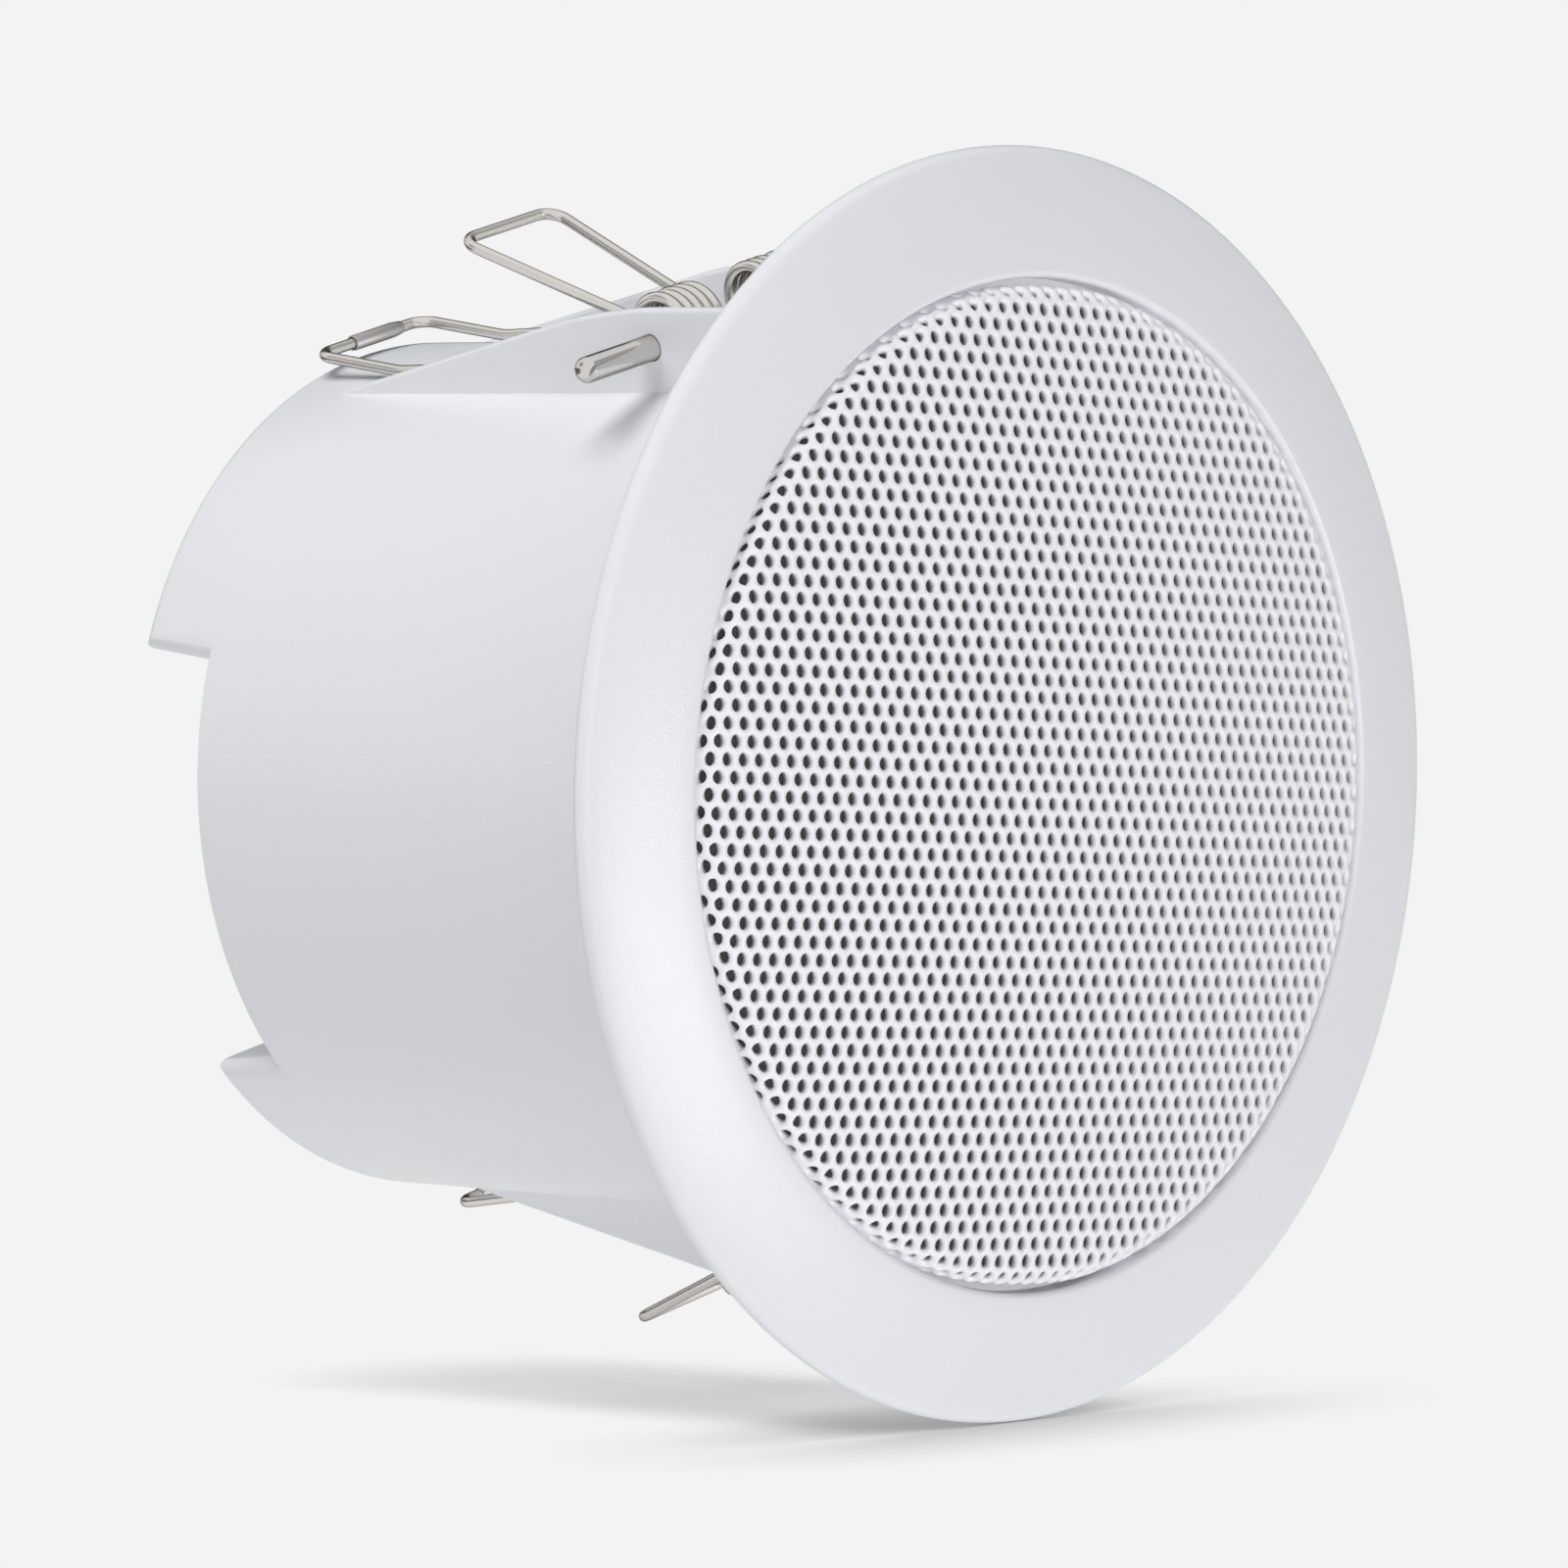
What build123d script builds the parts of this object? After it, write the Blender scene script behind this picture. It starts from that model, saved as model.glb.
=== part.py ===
"""In-ceiling loudspeaker with a round bezel, a domed perforated grille and two torsion spring clips.

Frame: the speaker's axis is Y. The grille faces -Y and the closed end of the housing faces +Y.
The origin is on the axis, in the plane where the bezel seats on the ceiling.
The two clips lie on the Z axis, so +Z is the direction in which the upper clip opens.
"""

import os
from math import asin, atan2, cos, degrees, hypot, radians, sin, sqrt

from build123d import *

# Bezel and grille
bezel_radius = 94.5
bezel_inner_radius = 74.9
bezel_height = 6.9          # inner edge of the bezel, in front of the seat
bezel_edge = 2.9            # thickness at the outer edge
bezel_edge_bulge = 1.16     # how far the rounded edge stands out past the seat
bezel_lip_round = 1.1
bezel_crown = 0.5           # how far the face bulges over a straight cone
bezel_wall = 2.4
seat_width = 4.0            # flat ring that meets the ceiling
recess_web = 2.5            # floor of the grille's recess
grille_gap = 0.6            # between the grille's skirt and the bezel
grille_sheet = 1.2
grille_proud = 6.5          # apex of the dome, in front of the bezel's inner edge
grille_dome_radius = 499.0
grille_rim_round = 3.2
grille_hole_pitch = 13.0
grille_hole_radius = 4.3
grille_hole_margin = 7.3    # plain sheet round the holes
cloth_gap = 0.1
cloth_thickness = 0.5

# Housing
body_radius_front = 65.9
body_draft = 0.7            # the body narrows by this much towards its rear
body_depth = 118.8          # seat to the raised rear wall
body_rear_round = 2.2
wall = 3.0
channel_depth = 15.0        # cable channel across the rear wall
channel_half_width = 33.0
channel_flare = 2.6         # each side wall leans out by this much

# Ears that carry the spring clips
ear_half_span = 17.0        # outer face of an ear, from the clip's middle plane
ear_thickness = 2.2
ear_rise = 10.25            # top of an ear over the front of the body
ear_flat_run = 9.1          # flat top behind the pin
ear_slope = 0.226           # fall of the rear half of an ear
ear_kink_round = 80.0
ear_edge_round = 0.7

# Clip: pin, torsion spring and crimped sleeve
pin_radius = 2.0
pin_end_round = 1.8
pin_clearance = 0.15
pin_overhang = 15.6         # length that stands out of each ear
pin_drop = 5.84             # pin's axis under the top of the ears
pin_depth = 41.5
wire_radius = 0.875
coil_radius = 5.0
coil_rings = 6
coil_end_turn = 330.0       # part of an end ring that is wound before its arm leaves
coil_press = 0.15           # neighbouring rings bite into each other by this much
coil_side_gap = 0.125       # between the coil and the ear
coil_slack = 0.175          # between the pin and the coil that hangs on it
catch_reach = 41.8          # bar of the catch loop that grips the ceiling, behind the coil's axis
catch_rise = 13.0           # and over it
catch_spread = 4.7          # half width that the catch loop gains from the coil to its bar
anchor_inset = 2.8          # bar of the anchor loop, in front of the rear wall
anchor_rise = 2.6           # and over the body
anchor_spread = -1.9        # half width that the anchor loop gains from the coil to its bar
anchor_bend_run = 17.0      # from the bar to the bend where the arm meets the body
anchor_bend_rise = 0.2
loop_corner_round = 3.0
arm_bend_round = 14.0
arm_lead = 6.0              # straight start of an arm in the plane of its ring
sleeve_length = 11.0
sleeve_offset = 1.5
sleeve_wall = 0.295
sleeve_clearance = 0.03
wire_end_gap = 1.0          # between the wire's two ends inside the sleeve

# Driver
ledge_depth = 8.0
ledge_thickness = 3.0
ledge_width = 9.9
frame_gap = 1.1             # between the driver's rim and the housing
frame_sheet = 1.2
frame_landing = 5.0         # flat of the frame inside the ledge
frame_step_radius = 36.4
frame_step_depth = 30.8
frame_base_radius = 31.0
frame_base_depth = 35.0
frame_base_bore = 20.0
frame_windows = 6
frame_window_angle = 40.0
frame_window_start = 90.0
frame_window_margin = 4.0
gasket_thickness = 1.0
gasket_inset = 0.5
driver_screw_count = 4
driver_screw_start = 45.0
driver_screw_radius = 1.75
driver_screw_head_radius = 3.4
driver_screw_head_height = 2.0
driver_screw_length = 11.0  # below the ledge's face
screw_tip_gap = 1.0
driver_hole_radius = 2.1
boss_radius = 3.6
boss_cap = 2.0              # plastic past the end of a screw hole
screw_clearance = 0.05
surround_sheet = 0.7
surround_width = 6.5
surround_landing = 2.5      # from the frame's throat to the roll's outer edge
surround_roll = 3.0
surround_flap = 3.5
cone_sheet = 0.7
cone_neck_depth = 27.4
former_radius = 12.8
former_wall = 0.35
former_front = 24.0
winding_height = 6.0
winding_overhang = 1.5      # past the rear of the front plate
winding_thickness = 0.5
dust_cap_radius = 16.0
dust_cap_rise = 6.5
dust_cap_sheet = 0.6
dust_cap_gap = 0.1
spider_sheet = 0.6
spider_waves = 4
spider_wave_height = 0.7
magnet_gap = 0.6            # between the winding and the plates on each side
top_plate_radius = 30.0
top_plate_thickness = 4.0
magnet_radius = 38.0
magnet_bore = 20.0
magnet_thickness = 13.0
magnet_chamfer = 0.8
yoke_radius = 36.0
yoke_thickness = 4.0
yoke_edge_round = 1.5
tag_board_length = 12.0
tag_board_width = 14.0
tag_board_thickness = 1.5
tag_board_inset = 1.0
tag_board_corner = 1.0
tag_spacing = 8.0
tag_length = 6.5
tag_width = 3.0
tag_thickness = 1.0
lead_radius = 0.8
lead_spacing = 5.0
lead_swing = 15.0           # straight run at each end of a lead
lead_bend = 12.0

# Terminals on the rear wall
terminal_length = 36.0
terminal_width = 18.0
terminal_height = 12.0
terminal_corner = 1.0
terminal_poles = 4
terminal_pole_pitch = 8.0
terminal_entry_radius = 2.0
terminal_entry_height = 4.0
terminal_well_radius = 2.6
terminal_well_depth = 4.0
terminal_screw_radius = 2.4
terminal_screw_height = 2.5
terminal_slot = 0.8
terminal_slot_depth = 1.25
lug_length = 8.0
lug_width = 10.0
lug_thickness = 3.0
fixing_radius = 1.5
fixing_head_radius = 2.9
fixing_head_height = 1.8
fixing_length = 7.0         # below the face of the rear wall
lead_opening_radius = 5.0

os.makedirs("parts", exist_ok=True)

# Stations that several pieces share
seat_outer = bezel_radius - bezel_edge_bulge
skirt_radius = bezel_inner_radius - grille_gap
grille_rise = bezel_height + grille_proud
grille_hole_field = skirt_radius - grille_hole_margin
body_radius_rear = body_radius_front - body_draft
channel_floor = body_depth - channel_depth
inner_radius_front = body_radius_front - wall
inner_radius_rear = body_radius_rear - wall
ledge_radius = inner_radius_front - ledge_width
frame_radius = inner_radius_front - frame_gap
frame_throat_radius = ledge_radius - frame_landing
surround_outer_radius = frame_throat_radius + surround_landing
surround_inner_radius = surround_outer_radius - surround_width
driver_screw_circle = (ledge_radius + frame_radius) / 2
driver_screw_hole = driver_screw_length + screw_tip_gap
frame_front = ledge_depth - gasket_thickness - frame_sheet
frame_rear = frame_front + frame_sheet
plate_front = frame_base_depth + frame_sheet
magnet_front = plate_front + top_plate_thickness
yoke_front = magnet_front + magnet_thickness
fixing_hole = fixing_length + screw_tip_gap
ear_top = body_radius_front + ear_rise
ear_flat_length = pin_depth + ear_flat_run
pin_height = ear_top - pin_drop
pin_hole_radius = pin_radius + pin_clearance
coil_height = pin_height - pin_radius - coil_slack + coil_radius - wire_radius
coil_pitch = 2 * wire_radius - coil_press
coil_outer_offset = ear_half_span - ear_thickness - coil_side_gap - wire_radius
coil_inner_offset = coil_outer_offset - (coil_rings - 1) * coil_pitch
catch_depth = pin_depth + catch_reach
catch_height = coil_height + catch_rise
catch_half_width = coil_inner_offset + catch_spread
anchor_depth = body_depth - anchor_inset
anchor_height = body_radius_rear + anchor_rise
anchor_half_width = coil_outer_offset + anchor_spread
anchor_bend_depth = anchor_depth - anchor_bend_run
anchor_bend_height = body_radius_rear + anchor_bend_rise
sleeve_bore = wire_radius + sleeve_clearance
sleeve_radius = sleeve_bore + sleeve_wall
clip_turns = {"top": 0, "bottom": 180}


def face_depth(radius):
    """Depth of the straight cone under the bezel's face at a radius."""
    rise = bezel_height - bezel_edge
    share = (radius - bezel_inner_radius) / (bezel_radius - bezel_inner_radius)
    return rise * share - bezel_height


def driver_screw_places():
    """The driver's screw circle, in the plane across the speaker's axis."""
    return PolarLocations(driver_screw_circle, driver_screw_count, start_angle=driver_screw_start)


# Space inside the housing: open at the front, with the driver's ledge and the rear channel left solid.
with BuildPart() as cavity:
    with BuildSketch(Plane.XY):
        with BuildLine():
            Polyline(
                (0, -recess_web),
                (inner_radius_front, -recess_web),
                (inner_radius_front, ledge_depth),
                (ledge_radius, ledge_depth),
                (ledge_radius, ledge_depth + ledge_thickness),
                (inner_radius_front, ledge_depth + ledge_thickness),
                (inner_radius_rear, body_depth - wall),
                (0, body_depth - wall),
                close=True,
            )
        make_face()
    revolve(axis=Axis.Y)
    with BuildSketch(Plane.YZ):
        with Locations((channel_floor - wall, 0)):
            Rectangle(
                channel_depth + 2 * wall,
                2 * (channel_half_width + channel_flare + wall),
                align=(Align.MIN, Align.CENTER),
            )
    extrude(amount=body_radius_front, both=True, mode=Mode.SUBTRACT)
    with BuildSketch(Plane.XZ.offset(-ledge_depth - ledge_thickness)):
        with driver_screw_places():
            Circle(boss_radius)
    extrude(amount=-(driver_screw_hole - ledge_thickness + boss_cap), mode=Mode.SUBTRACT)
    with BuildSketch(Plane.XZ.offset(wall - channel_floor)):
        with GridLocations(terminal_length + lug_length, 0, 2, 1):
            Circle(boss_radius)
    extrude(amount=fixing_hole - wall + boss_cap, mode=Mode.SUBTRACT)

# One ear: flat over the coil, then falling to the body, with its top edges rounded.
with BuildPart() as ear:
    ear_root = sqrt((body_radius_rear - wall / 2) ** 2 - ear_half_span**2)
    ear_length = ear_flat_length + (ear_top - ear_root) / ear_slope
    with BuildSketch(Plane.YZ.offset(ear_half_span - ear_thickness)) as outline:
        with BuildLine():
            Polyline(
                (-recess_web / 2, ear_root),
                (-recess_web / 2, ear_top),
                (ear_flat_length, ear_top),
                (ear_length, ear_root),
                close=True,
            )
        make_face()
        kink = outline.vertices().sort_by_distance((ear_flat_length, ear_top))[0]
        fillet(kink, ear_kink_round)
    extrude(amount=ear_thickness)
    long_edges = edges().filter_by(Axis.X, reverse=True).filter_by(Axis.Z, reverse=True)
    fillet([edge for group in long_edges.group_by(Axis.Z)[1:] for edge in group], ear_edge_round)

# Housing: bezel, body, ears and stepped rear wall moulded as one piece.
with BuildPart() as housing:
    with BuildSketch(Plane.XY) as section:
        with BuildLine():
            seat_inner = seat_outer - seat_width
            pocket_inner = bezel_inner_radius + bezel_wall
            front_middle = (bezel_inner_radius + bezel_radius) / 2
            Polyline(
                (0, body_depth),
                (body_radius_rear, body_depth),
                (body_radius_front, 0),
                (pocket_inner, 0),
                (pocket_inner, face_depth(pocket_inner) + bezel_wall),
                (seat_inner, face_depth(seat_inner) + bezel_wall),
                (seat_inner, 0),
                (seat_outer, 0),
            )
            ThreePointArc(
                (seat_outer, 0),
                (bezel_radius, -bezel_edge / 2),
                (seat_outer, -bezel_edge),
            )
            ThreePointArc(
                (seat_outer, -bezel_edge),
                (front_middle, face_depth(front_middle) - bezel_crown),
                (bezel_inner_radius, -bezel_height),
            )
            Polyline(
                (bezel_inner_radius, -bezel_height),
                (bezel_inner_radius, -recess_web),
                (0, -recess_web),
                (0, body_depth),
            )
        make_face()
        bezel_lip = section.vertices().sort_by(Axis.Y)[0]
        fillet(bezel_lip, bezel_lip_round)
    revolve(axis=Axis.Y)
    with BuildSketch(Plane.YZ):
        with BuildLine():
            Polyline(
                (channel_floor, -channel_half_width),
                (body_depth + wall, -channel_half_width - channel_flare * (1 + wall / channel_depth)),
                (body_depth + wall, channel_half_width + channel_flare * (1 + wall / channel_depth)),
                (channel_floor, channel_half_width),
                close=True,
            )
        make_face()
    extrude(amount=body_radius_front, both=True, mode=Mode.SUBTRACT)
    fillet(edges().group_by(Axis.Y)[-1], body_rear_round)
    add(cavity.part, mode=Mode.SUBTRACT)
    for blank in (ear.part, mirror(ear.part, about=Plane.YZ, mode=Mode.PRIVATE)):
        add(blank)
        add(mirror(blank, about=Plane.XY, mode=Mode.PRIVATE))
    for side in (1, -1):
        with BuildSketch(Plane.YZ):
            with Locations((pin_depth, side * pin_height)):
                Circle(pin_hole_radius)
        extrude(amount=ear_half_span, both=True, mode=Mode.SUBTRACT)
    with BuildSketch(Plane.XZ.offset(-ledge_depth)):
        with driver_screw_places():
            Circle(driver_screw_radius + screw_clearance)
    extrude(amount=-driver_screw_hole, mode=Mode.SUBTRACT)
    with BuildSketch(Plane.XZ.offset(-channel_floor)):
        with GridLocations(terminal_length + lug_length, 0, 2, 1):
            Circle(fixing_radius + screw_clearance)
    extrude(amount=fixing_hole, mode=Mode.SUBTRACT)
    with BuildSketch(Plane.XZ.offset(-channel_floor)):
        Circle(lead_opening_radius)
    extrude(amount=wall, mode=Mode.SUBTRACT)
housing.part.label = "housing"
export_step(housing.part, "parts/housing.step")


def dome_section(inset, sheet):
    """Half section of a dome with a rolled skirt, set in from the grille's outside by inset."""
    outer_sphere = grille_dome_radius - inset
    inner_sphere = outer_sphere - sheet
    outer_skirt = skirt_radius - inset
    inner_skirt = outer_skirt - sheet
    centre = grille_dome_radius - grille_rise
    outer_corner = (outer_skirt, centre - sqrt(outer_sphere**2 - outer_skirt**2))
    inner_corner = (inner_skirt, centre - sqrt(inner_sphere**2 - inner_skirt**2))
    outer_middle = (outer_skirt / 2, centre - sqrt(outer_sphere**2 - (outer_skirt / 2) ** 2))
    inner_middle = (inner_skirt / 2, centre - sqrt(inner_sphere**2 - (inner_skirt / 2) ** 2))
    with BuildSketch(Plane.XY) as section:
        with BuildLine():
            ThreePointArc((0, centre - outer_sphere), outer_middle, outer_corner)
            Polyline(outer_corner, (outer_skirt, -recess_web), (inner_skirt, -recess_web), inner_corner)
            ThreePointArc(inner_corner, inner_middle, (0, centre - inner_sphere))
            Line((0, centre - inner_sphere), (0, centre - outer_sphere))
        make_face()
        fillet(section.vertices().sort_by_distance(outer_corner)[0], grille_rim_round - inset)
        fillet(section.vertices().sort_by_distance(inner_corner)[0], grille_rim_round - inset - sheet)
    return section.sketch


# Grille: domed steel sheet with a rolled skirt that stands on the floor of the bezel's recess.
with BuildPart() as grille:
    revolve(dome_section(0, grille_sheet), axis=Axis.Y)
    row_ratio = cos(radians(30))
    rows = int(grille_hole_field / (grille_hole_pitch * row_ratio))
    columns = int(grille_hole_field / grille_hole_pitch) + 1
    lattice = [
        ((column + row % 2 / 2) * grille_hole_pitch, row * grille_hole_pitch * row_ratio)
        for row in range(-rows, rows + 1)
        for column in range(-columns, columns + 1)
    ]
    open_places = [place for place in lattice if hypot(*place) < grille_hole_field - grille_hole_radius]
    with BuildSketch(Plane.XZ):
        with Locations(*open_places):
            Circle(grille_hole_radius)
    extrude(amount=grille_rise + grille_sheet, mode=Mode.SUBTRACT)
grille.part.label = "grille"
export_step(grille.part, "parts/grille.step")

# Black acoustic cloth that lines the inside of the grille.
with BuildPart() as grille_cloth:
    revolve(dome_section(grille_sheet + cloth_gap, cloth_thickness), axis=Axis.Y)
grille_cloth.part.label = "grille_cloth"
export_step(grille_cloth.part, "parts/grille_cloth.step")

# Driver frame: pressed steel basket with windows, a spider step and a base for the magnet.
with BuildPart() as driver_basket:
    with BuildSketch(Plane.XY):
        with BuildLine():
            Polyline(
                (frame_radius, frame_front),
                (frame_radius, frame_rear),
                (frame_throat_radius + frame_sheet, frame_rear),
                (frame_step_radius + frame_sheet, frame_step_depth + frame_sheet),
                (frame_base_radius + frame_sheet, frame_step_depth + frame_sheet),
                (frame_base_radius + frame_sheet, plate_front),
                (frame_base_bore, plate_front),
                (frame_base_bore, frame_base_depth),
                (frame_base_radius, frame_base_depth),
                (frame_base_radius, frame_step_depth),
                (frame_step_radius, frame_step_depth),
                (frame_throat_radius, frame_front),
                close=True,
            )
        make_face()
    revolve(axis=Axis.Y)
    for turn in range(frame_windows):
        start = 360 / frame_windows * turn + frame_window_start - frame_window_angle / 2
        with BuildSketch(Plane.XY.rotated((0, start, 0))):
            with Locations((frame_step_radius, frame_rear + frame_window_margin)):
                Rectangle(
                    frame_throat_radius - frame_step_radius + 2 * frame_sheet,
                    frame_step_depth - frame_rear - 2 * frame_window_margin,
                    align=(Align.MIN, Align.MIN),
                )
        revolve(axis=Axis.Y, revolution_arc=frame_window_angle, mode=Mode.SUBTRACT)
    with BuildSketch(Plane.XZ.offset(-frame_front)):
        with driver_screw_places():
            Circle(driver_hole_radius)
    extrude(amount=-frame_sheet, mode=Mode.SUBTRACT)
driver_basket.part.label = "driver_basket"
export_step(driver_basket.part, "parts/driver_basket.step")

# Foam gasket between the driver and the ledge.
with BuildPart() as driver_gasket:
    with BuildSketch(Plane.XZ.offset(-frame_rear)):
        Circle(frame_radius)
        Circle(ledge_radius + gasket_inset, mode=Mode.SUBTRACT)
        with driver_screw_places():
            Circle(driver_hole_radius, mode=Mode.SUBTRACT)
    extrude(amount=-gasket_thickness)
driver_gasket.part.label = "driver_gasket"
export_step(driver_gasket.part, "parts/driver_gasket.step")

# Pan-head screws that hold the driver to the ledge.
with BuildPart() as driver_screws:
    with BuildSketch(Plane.XZ.offset(-frame_front)):
        with driver_screw_places():
            Circle(driver_screw_head_radius)
    extrude(amount=driver_screw_head_height)
    fillet(edges().group_by(Axis.Y)[0], driver_screw_head_height / 2)
    with BuildSketch(Plane.XZ.offset(-frame_front)):
        with driver_screw_places():
            Circle(driver_screw_radius)
    extrude(amount=-(ledge_depth - frame_front + driver_screw_length))
driver_screws.part.label = "driver_screws"
export_step(driver_screws.part, "parts/driver_screws.step")

# Surround: half-roll of rubber between the cone's rim and the basket.
with BuildPart() as surround:
    with BuildSketch(Plane.XY):
        with BuildLine():
            roll_base = frame_front - surround_sheet
            roll_middle = (surround_inner_radius + surround_outer_radius) / 2
            inner_lip = surround_inner_radius - surround_flap / 2
            Polyline(
                (surround_inner_radius, roll_base),
                (inner_lip, roll_base),
                (inner_lip, frame_front),
                (surround_inner_radius + surround_sheet, frame_front),
            )
            ThreePointArc(
                (surround_inner_radius + surround_sheet, frame_front),
                (roll_middle, roll_base - surround_roll + surround_sheet),
                (surround_outer_radius - surround_sheet, frame_front),
            )
            Polyline(
                (surround_outer_radius - surround_sheet, frame_front),
                (surround_outer_radius + surround_flap, frame_front),
                (surround_outer_radius + surround_flap, roll_base),
                (surround_outer_radius, roll_base),
            )
            ThreePointArc(
                (surround_outer_radius, roll_base),
                (roll_middle, roll_base - surround_roll),
                (surround_inner_radius, roll_base),
            )
        make_face()
    revolve(axis=Axis.Y)
surround.part.label = "surround"
export_step(surround.part, "parts/surround.step")

# Paper cone, glued to the surround at its rim and to the coil former at its neck.
with BuildPart() as cone:
    with BuildSketch(Plane.XY):
        with BuildLine():
            cone_rim = surround_inner_radius + surround_sheet / 2
            Polyline(
                (cone_rim, frame_front),
                (cone_rim, frame_front + cone_sheet),
                (cone_rim - cone_sheet, frame_front + cone_sheet),
                (former_radius + cone_sheet, cone_neck_depth),
                (former_radius, cone_neck_depth),
                (former_radius, cone_neck_depth - cone_sheet),
                (cone_rim - surround_flap / 2, frame_front),
                close=True,
            )
        make_face()
    revolve(axis=Axis.Y)
cone.part.label = "cone"
export_step(cone.part, "parts/cone.step")

# Dust cap: shallow dome over the neck of the cone.
with BuildPart() as dust_cap:
    with BuildSketch(Plane.XY):
        with BuildLine():
            cone_run = cone_rim - surround_flap / 2 - former_radius
            cone_fall = cone_neck_depth - cone_sheet - frame_front
            cap_run = dust_cap_radius - former_radius
            cap_seat = cone_neck_depth - cone_sheet - cone_fall / cone_run * cap_run
            cap_rim = cap_seat - dust_cap_gap
            cap_apex = cap_rim - dust_cap_rise
            cap_sphere = (dust_cap_radius**2 + dust_cap_rise**2) / (2 * dust_cap_rise)
            cap_centre = cap_apex + cap_sphere
            cap_bore = sqrt((cap_sphere - dust_cap_sheet) ** 2 - (cap_sphere - dust_cap_rise) ** 2)
            cap_middle = cap_bore / 2
            ThreePointArc(
                (0, cap_apex),
                (cap_middle, cap_centre - sqrt(cap_sphere**2 - cap_middle**2)),
                (dust_cap_radius, cap_rim),
            )
            Line((dust_cap_radius, cap_rim), (cap_bore, cap_rim))
            ThreePointArc(
                (cap_bore, cap_rim),
                (cap_middle, cap_centre - sqrt((cap_sphere - dust_cap_sheet) ** 2 - cap_middle**2)),
                (0, cap_apex + dust_cap_sheet),
            )
            Line((0, cap_apex + dust_cap_sheet), (0, cap_apex))
        make_face()
    revolve(axis=Axis.Y)
dust_cap.part.label = "dust_cap"
export_step(dust_cap.part, "parts/dust_cap.step")

# Voice coil: thin former with the winding at its end, in the magnet's gap.
with BuildPart() as voice_coil:
    winding_rear = magnet_front + winding_overhang
    with BuildSketch(Plane.XY):
        with BuildLine():
            Polyline(
                (former_radius - former_wall, former_front),
                (former_radius, former_front),
                (former_radius, winding_rear - winding_height),
                (former_radius + winding_thickness, winding_rear - winding_height),
                (former_radius + winding_thickness, winding_rear),
                (former_radius - former_wall, winding_rear),
                close=True,
            )
        make_face()
    revolve(axis=Axis.Y)
voice_coil.part.label = "voice_coil"
export_step(voice_coil.part, "parts/voice_coil.step")

# Spider: corrugated cloth disc that centres the former.
with BuildPart() as spider:
    spider_rear = frame_step_depth
    wave_run = (frame_base_radius - former_radius) / (2 * spider_waves)
    crests = [
        (former_radius + wave_run * step, -spider_wave_height if step % 2 else 0.0)
        for step in range(2 * spider_waves + 1)
    ]
    with BuildSketch(Plane.XY):
        with BuildLine():
            front_side = [(radius, spider_rear - spider_sheet + lift) for radius, lift in crests]
            rear_side = [(radius, spider_rear + lift) for radius, lift in crests]
            landing = frame_step_radius - frame_sheet
            Polyline(
                *front_side,
                (landing, spider_rear - spider_sheet),
                (landing, spider_rear),
                *reversed(rear_side),
                close=True,
            )
        make_face()
    revolve(axis=Axis.Y)
spider.part.label = "spider"
export_step(spider.part, "parts/spider.step")

# Magnet system: front plate, ferrite ring, and a yoke whose pole fills the coil.
with BuildPart() as top_plate:
    with BuildSketch(Plane.XZ.offset(-plate_front)):
        Circle(top_plate_radius)
        Circle(former_radius + winding_thickness + magnet_gap, mode=Mode.SUBTRACT)
    extrude(amount=-top_plate_thickness)
top_plate.part.label = "top_plate"
export_step(top_plate.part, "parts/top_plate.step")

with BuildPart() as magnet:
    with BuildSketch(Plane.XZ.offset(-magnet_front)):
        Circle(magnet_radius)
        Circle(magnet_bore, mode=Mode.SUBTRACT)
    extrude(amount=-magnet_thickness)
    chamfer(edges().filter_by(GeomType.CIRCLE), magnet_chamfer)
magnet.part.label = "magnet"
export_step(magnet.part, "parts/magnet.step")

with BuildPart() as yoke:
    with BuildSketch(Plane.XZ.offset(-yoke_front)):
        Circle(yoke_radius)
    extrude(amount=-yoke_thickness)
    fillet(edges().group_by(Axis.Y)[-1], yoke_edge_round)
    with BuildSketch(Plane.XZ.offset(-plate_front)):
        Circle(former_radius - former_wall - magnet_gap)
    extrude(amount=-top_plate_thickness - magnet_thickness)
yoke.part.label = "yoke"
export_step(yoke.part, "parts/yoke.step")

# Tag board on the back of the basket's step, with two solder tags.
board_front = frame_step_depth + frame_sheet
board_rear = board_front + tag_board_thickness
board_start = frame_base_radius + frame_sheet + tag_board_inset
tag_place = board_start + tag_board_length - tag_width
with BuildPart() as tag_board:
    with BuildSketch(Plane.XZ.offset(-board_front)):
        with Locations((board_start, 0)):
            RectangleRounded(
                tag_board_length, tag_board_width, tag_board_corner, align=(Align.MIN, Align.CENTER)
            )
    extrude(amount=-tag_board_thickness)
tag_board.part.label = "tag_board"
export_step(tag_board.part, "parts/tag_board.step")

with BuildPart() as solder_tags:
    with BuildSketch(Plane.XZ.offset(-board_rear)):
        with Locations((tag_place, tag_spacing / 2), (tag_place, -tag_spacing / 2)):
            Rectangle(tag_width, tag_thickness)
    extrude(amount=-tag_length)
solder_tags.part.label = "solder_tags"
export_step(solder_tags.part, "parts/solder_tags.step")

# Leads from the solder tags, past the magnet, to the underside of the terminal block.
with BuildPart() as driver_leads:
    for side in (1, -1):
        with BuildLine() as route:
            FilletPolyline(
                (tag_place, board_rear + tag_length, side * tag_spacing / 2),
                (tag_place, yoke_front + lead_swing, side * tag_spacing / 2),
                (0, channel_floor - lead_swing, side * lead_spacing / 2),
                (0, channel_floor, side * lead_spacing / 2),
                radius=lead_bend,
            )
        with BuildSketch(Plane(origin=route.line @ 0, z_dir=route.line % 0)):
            Circle(lead_radius)
        sweep(path=route.line)
driver_leads.part.label = "driver_leads"
export_step(driver_leads.part, "parts/driver_leads.step")

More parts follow.
